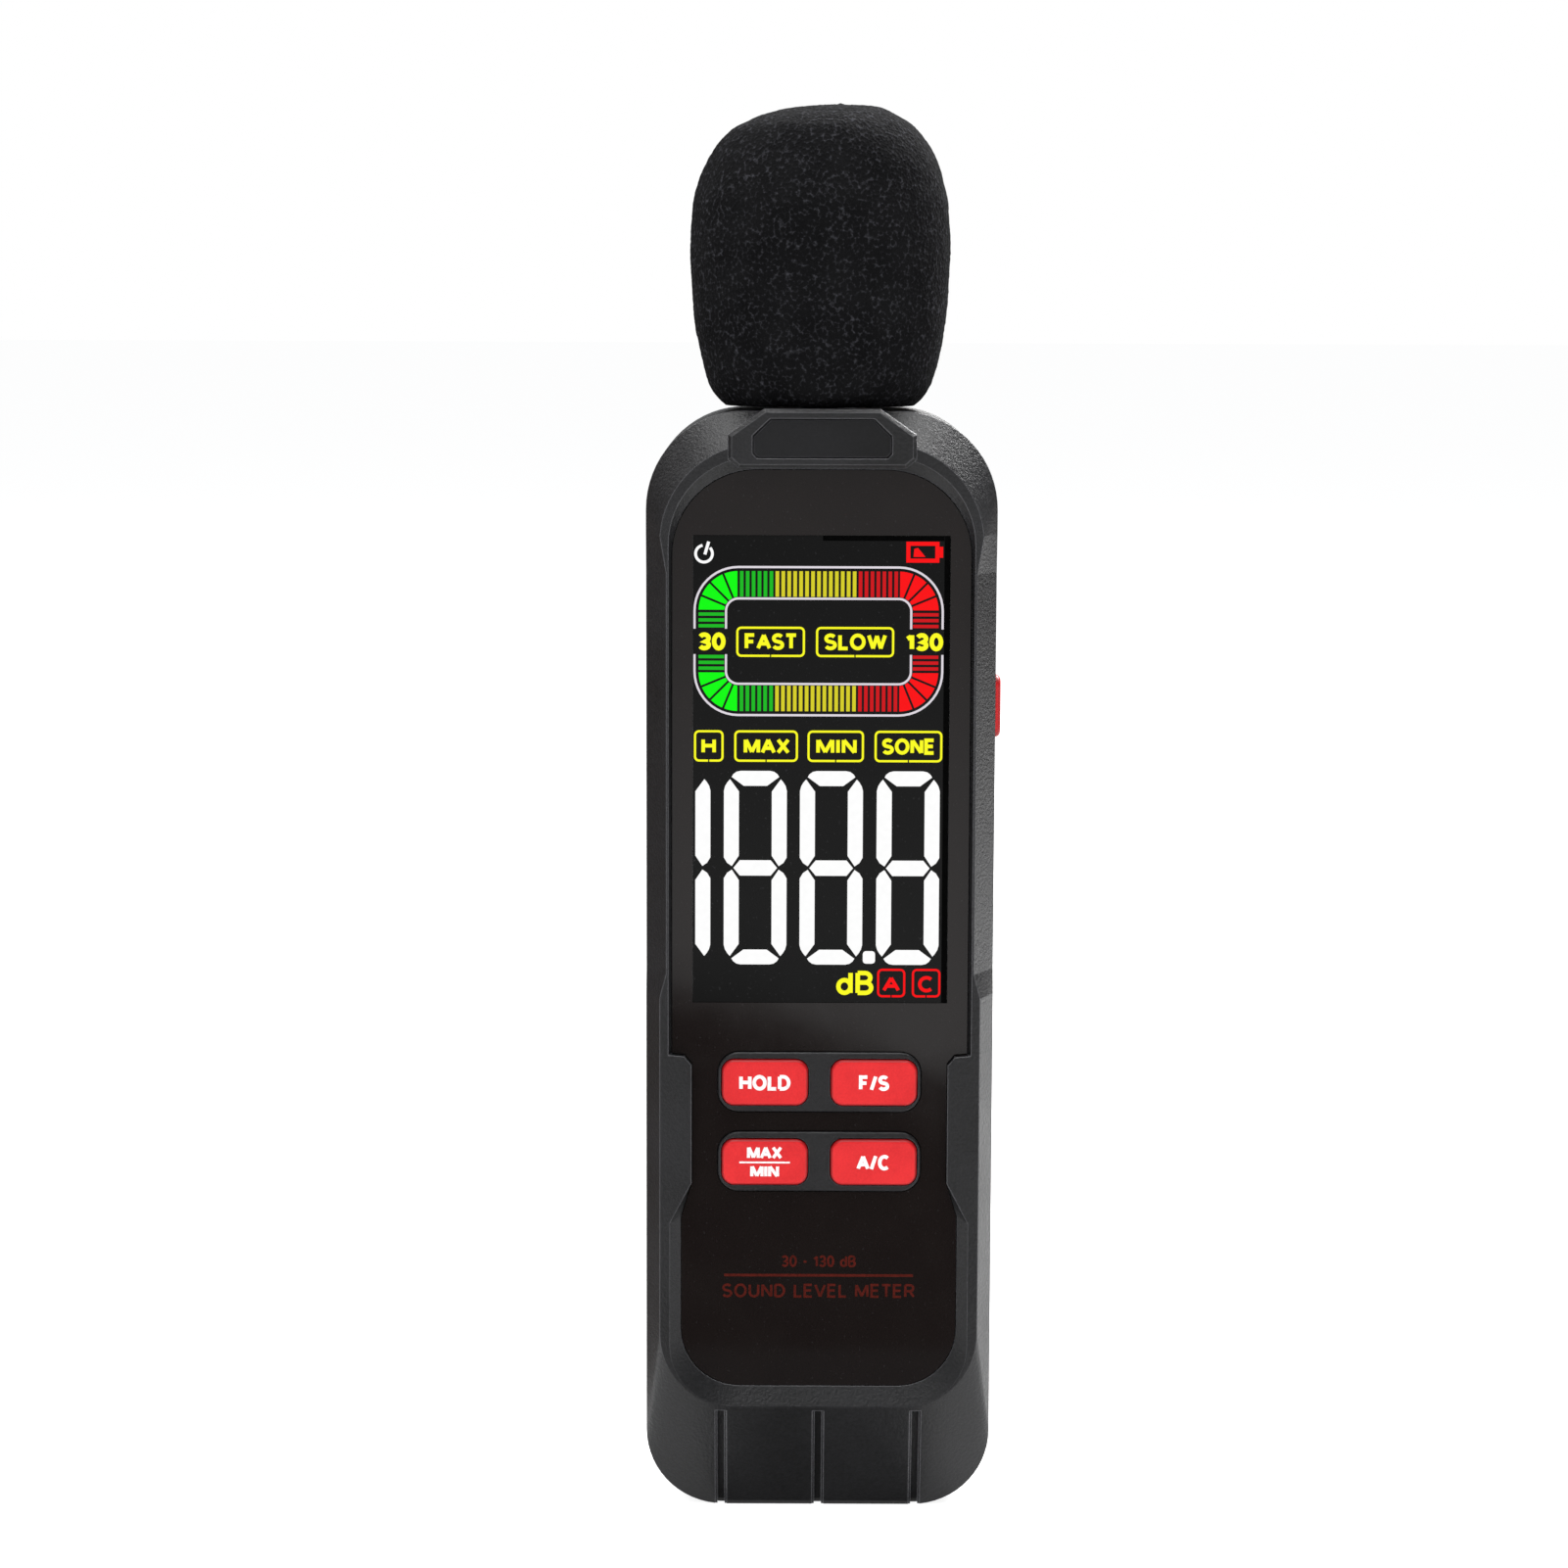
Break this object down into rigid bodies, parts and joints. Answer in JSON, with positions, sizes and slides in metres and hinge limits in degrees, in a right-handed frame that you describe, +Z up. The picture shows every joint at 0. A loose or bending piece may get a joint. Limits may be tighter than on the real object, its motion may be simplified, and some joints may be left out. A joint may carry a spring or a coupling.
{
  "type": "sound level meter",
  "caption": "Handheld sound level meter: a slim plastic case with a colour display, keys on the front, a side power button, a battery door and a foam windscreen.",
  "frame": {"origin": "middle of the meter's bottom, at the height of its flat foot", "axes": "+Z up the meter's length to the windscreen, -Y out of the display, +X to the right of somebody who reads it"},
  "size_m": [0.0492, 0.036, 0.1957],
  "materials": {
    "case_plastic": "fine moulded texture",
    "panel_gloss": "polished",
    "display_window": "polished, dark tint",
    "inlay_plastic": "satin",
    "grip_rubber": "matte",
    "key_rubber": "satin",
    "foam": "open-cell foam",
    "tube_metal": "anodised black-grey",
    "capsule_metal": "satin",
    "grille_metal": "satin",
    "seal_rubber": "matte",
    "lead_red": "satin insulation",
    "lcd_glass": "clear",
    "diffuser": "milky",
    "frame_plastic": "satin",
    "switch_plastic": "satin",
    "plunger_plastic": "satin",
    "board_laminate": "solder mask",
    "chip_plastic": "moulded",
    "can_metal": "satin",
    "cell_jacket": "gloss sleeve",
    "contact_metal": "nickel plated",
    "screw_steel": "black zinc",
    "insert_brass": "turned"
  },
  "bodies": {
    "meter_case": {"front_case": "case_plastic", "rear_case": "case_plastic", "front_panel": "panel_gloss", "display_lens": "display_window", "nameplate_inlay": "inlay_plastic", "side_grip_left": "grip_rubber", "side_grip_right": "grip_rubber", "microphone_tube": "tube_metal", "microphone_capsule": "capsule_metal", "microphone_grille": "grille_metal", "microphone_seal": "seal_rubber", "elastomer_strip": "seal_rubber", "microphone_leads": "lead_red", "battery_leads": "lead_red", "lcd_glass": "lcd_glass", "lcd_backlight": "diffuser", "lcd_frame": "frame_plastic", "tact_switch_bases": "switch_plastic", "power_switch_base": "switch_plastic", "main_board": "board_laminate", "processor_chip": "chip_plastic", "preamp_chip": "chip_plastic", "regulator_chip": "chip_plastic", "chip_resistors": "chip_plastic", "crystal": "can_metal", "filter_capacitors": "can_metal", "battery_cells": "cell_jacket", "battery_springs": "contact_metal", "battery_plates": "contact_metal", "case_screws": "screw_steel", "board_screws": "screw_steel", "tripod_insert": "insert_brass"},
    "windscreen_foam": {"windscreen": "foam"},
    "hold_button": {"hold_key": "key_rubber", "hold_switch_plunger": "plunger_plastic"},
    "fast_slow_button": {"fast_slow_key": "key_rubber", "fast_slow_switch_plunger": "plunger_plastic"},
    "max_min_button": {"max_min_key": "key_rubber", "max_min_switch_plunger": "plunger_plastic"},
    "weighting_button": {"weighting_key": "key_rubber", "weighting_switch_plunger": "plunger_plastic"},
    "side_power_button": {"power_button": "key_rubber", "power_switch_plunger": "plunger_plastic"},
    "battery_door": {"battery_cover": "case_plastic"}
  },
  "joints": [
    {"name": "windscreen_pull", "type": "slide", "parent": "meter_case", "child": "windscreen_foam", "axis": [0, 0, 1], "range_m": [0, 0.05]},
    {"name": "hold_press", "type": "slide", "parent": "meter_case", "child": "hold_button", "axis": [0, 1, 0], "range_m": [0, 0.0006], "stiffness_N_per_m": 600},
    {"name": "fast_slow_press", "type": "slide", "parent": "meter_case", "child": "fast_slow_button", "axis": [0, 1, 0], "range_m": [0, 0.0006], "stiffness_N_per_m": 600},
    {"name": "max_min_press", "type": "slide", "parent": "meter_case", "child": "max_min_button", "axis": [0, 1, 0], "range_m": [0, 0.0006], "stiffness_N_per_m": 600},
    {"name": "weighting_press", "type": "slide", "parent": "meter_case", "child": "weighting_button", "axis": [0, 1, 0], "range_m": [0, 0.0006], "stiffness_N_per_m": 600},
    {"name": "power_press", "type": "slide", "parent": "meter_case", "child": "side_power_button", "axis": [-1, 0, 0], "range_m": [0, 0.0005], "stiffness_N_per_m": 600},
    {"name": "battery_door_swing", "type": "hinge", "parent": "meter_case", "child": "battery_door", "pos_m": [0, 0.0155, 0.0136], "axis": [-1, 0, 0], "range_deg": [0, 75]}
  ]
}
